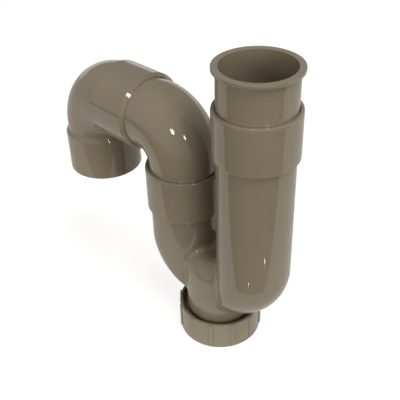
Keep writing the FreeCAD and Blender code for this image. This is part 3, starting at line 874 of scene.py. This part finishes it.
# The stage is in metres.
camera = {
    "place": (0.22974, -0.27714, 0.16149),
    "azimuth": 45.28,        # degrees from +Y towards -X
    "pitch": 35.27,          # degrees down
    "roll": -1.83,
    "lens": 61.69,
}
studio = {
    "floorHalf": 3,
    "floorGlow": 0.62,
    "bounceGlow": 0.43,      # what the pieces see of the floor
    "bounceLift": 0.0002,    # heights of the sheets over the floor
    "cardLift": 0.0005,
    "glintLift": 0.0008,
    "cardNear": 0.082,       # the dark card's edge, from the inlet's axis towards the camera
    "cardSkew": 0.225,
    "cardHalf": 1.5,
    "cardFar": 2.0,
    "surround": 0.5,
    "warm": (1.0, 0.97, 0.92),
    "aim": (-0.06, 0, -0.1),
    "boxes": [               # azimuth from +X, elevation, distance, size and radiance
        ("leftBox", -95, 12, 1.5, 0.9, 4.26),
        ("rightBox", -5, 12, 1.5, 0.9, 3.18),
        ("highBox", -5, 64, 1.5, 0.9, 5.59),
    ],
    "spots": [
        ("leftSpot", -57, 35, 1.2, 0.16, 22),
        ("rightSpot", -21, 31, 1.2, 0.14, 22),
    ],
    "glints": [              # small bright patches on the floor: low and high corner, radiance
        ((0.127, -0.050), (0.133, -0.044), 15),
        ((0.049, -0.099), (0.0535, -0.095), 15),
    ],
    "backdrop": (130, 2.0, 2.0, 0.5, 0.9),   # azimuth, distance, half width, height, radiance
}
floorLevel = cap["bottom"] * millimetre


def makeLamp(name, azimuth, elevation, distance, size, radiance):
    # Square lamp aimed at the trap's middle. Its power is radiance times pi times its area.
    azimuth, elevation = math.radians(azimuth), math.radians(elevation)
    reach = Vector((math.cos(elevation) * math.cos(azimuth),
                    math.cos(elevation) * math.sin(azimuth), math.sin(elevation)))
    light = bpy.data.lights.new(name, "AREA")
    light.shape = "SQUARE"
    light.size = size
    light.energy = radiance * math.pi * size * size
    lamp = bpy.data.objects.new(name, light)
    lamp.location = Vector(studio["aim"]) + distance * reach
    lamp.rotation_euler = (-reach).to_track_quat("-Z", "Y").to_euler()
    lamp.visible_camera = False
    bpy.context.collection.objects.link(lamp)
    return lamp


def makeSheet(name, corners, material):
    mesh = bpy.data.meshes.new(name)
    mesh.from_pydata(corners, [], [(0, 1, 2, 3)])
    mesh.materials.append(material)
    sheet = bpy.data.objects.new(name, mesh)
    bpy.context.collection.objects.link(sheet)
    return sheet


def glowPaint(name, glow, tint):
    paint = makeMaterial(name, mouldedSkin, finishes["floor"])
    shader = paint.node_tree.nodes["Principled BSDF"]
    shader.inputs["Emission Color"].default_value = (*tint, 1)
    shader.inputs["Emission Strength"].default_value = glow
    return paint


def flatCorners(low, high, height):
    return [(low[0], low[1], height), (high[0], low[1], height),
            (high[0], high[1], height), (low[0], high[1], height)]


def makeFloor():
    # The camera sees the white floor. The pieces are lit by, and mirror, the sheets just above.
    half, warm = studio["floorHalf"], studio["warm"]
    wide = ((-half, -half), (half, half))
    floor = makeSheet("floor", flatCorners(*wide, floorLevel),
                      glowPaint("floorPaint", studio["floorGlow"], (1, 1, 1)))
    floor.visible_diffuse = floor.visible_glossy = False
    bounce = makeSheet("bounce", flatCorners(*wide, floorLevel + studio["bounceLift"]),
                       glowPaint("bouncePaint", studio["bounceGlow"], warm))
    bounce.visible_camera = bounce.visible_shadow = False

    turn = math.radians(camera["azimuth"])
    ahead = Vector((math.sin(turn), -math.cos(turn), 0))     # level, towards the camera
    aside = Vector((math.cos(turn), math.sin(turn), 0))
    reach, far = studio["cardHalf"], studio["cardFar"]
    edges = [ahead * (studio["cardNear"] + studio["cardSkew"] * side) + aside * side
             for side in (-reach, reach)]
    corners = edges + [edges[1] + ahead * far, edges[0] + ahead * far]
    height = floorLevel + studio["cardLift"]
    card = makeSheet("darkCard", [(spot.x, spot.y, height) for spot in corners],
                     makeMaterial("cardPaint", mouldedSkin, finishes["card"]))
    card.visible_camera = card.visible_shadow = False
    for number, (low, high, radiance) in enumerate(studio["glints"]):
        glint = makeSheet("glint%d" % number,
                          flatCorners(low, high, floorLevel + studio["glintLift"]),
                          glowPaint("glintPaint%d" % number, radiance, warm))
        glint.visible_camera = glint.visible_diffuse = glint.visible_shadow = False


def makeBackdrop():
    # Low bright wall behind the trap that only reflections meet.
    azimuth, distance, halfWidth, height, radiance = studio["backdrop"]
    away = Vector((math.cos(math.radians(azimuth)), math.sin(math.radians(azimuth)), 0))
    sideways = Vector((-away.y, away.x, 0))
    left, right = (away * distance + sideways * halfWidth * side for side in (1, -1))
    top = floorLevel + height
    corners = [(left.x, left.y, floorLevel), (right.x, right.y, floorLevel),
               (right.x, right.y, top), (left.x, left.y, top)]
    backdrop = makeSheet("backdrop", corners, glowPaint("backdropPaint", radiance, studio["warm"]))
    backdrop.visible_camera = backdrop.visible_diffuse = backdrop.visible_shadow = False


def makeSurround():
    # Even glow all round, which only reflections meet.
    world = bpy.data.worlds.new("studio")
    bpy.context.scene.world = world
    world.use_nodes = True
    sky = world.node_tree.nodes["Background"]
    sky.inputs["Color"].default_value = (*studio["warm"], 1)
    sky.inputs["Strength"].default_value = studio["surround"]
    world.cycles_visibility.diffuse = False


makeFloor()
makeBackdrop()
makeSurround()
for settings in studio["boxes"]:
    makeLamp(*settings).visible_glossy = False
for settings in studio["spots"]:
    makeLamp(*settings).visible_diffuse = False
print("stage made")

lens = bpy.data.cameras.new("camera")
lens.lens = camera["lens"]
lens.sensor_width = 36
lens.clip_start = 0.01
eye = bpy.data.objects.new("camera", lens)
eye.matrix_world = (Matrix.Translation(camera["place"])
                    @ Matrix.Rotation(math.radians(camera["azimuth"]), 4, "Z")
                    @ Matrix.Rotation(math.radians(90 - camera["pitch"]), 4, "X")
                    @ Matrix.Rotation(math.radians(camera["roll"]), 4, "Z"))
bpy.context.collection.objects.link(eye)
bpy.context.scene.camera = eye
bpy.context.scene.view_settings.view_transform = "Standard"
print("camera placed")
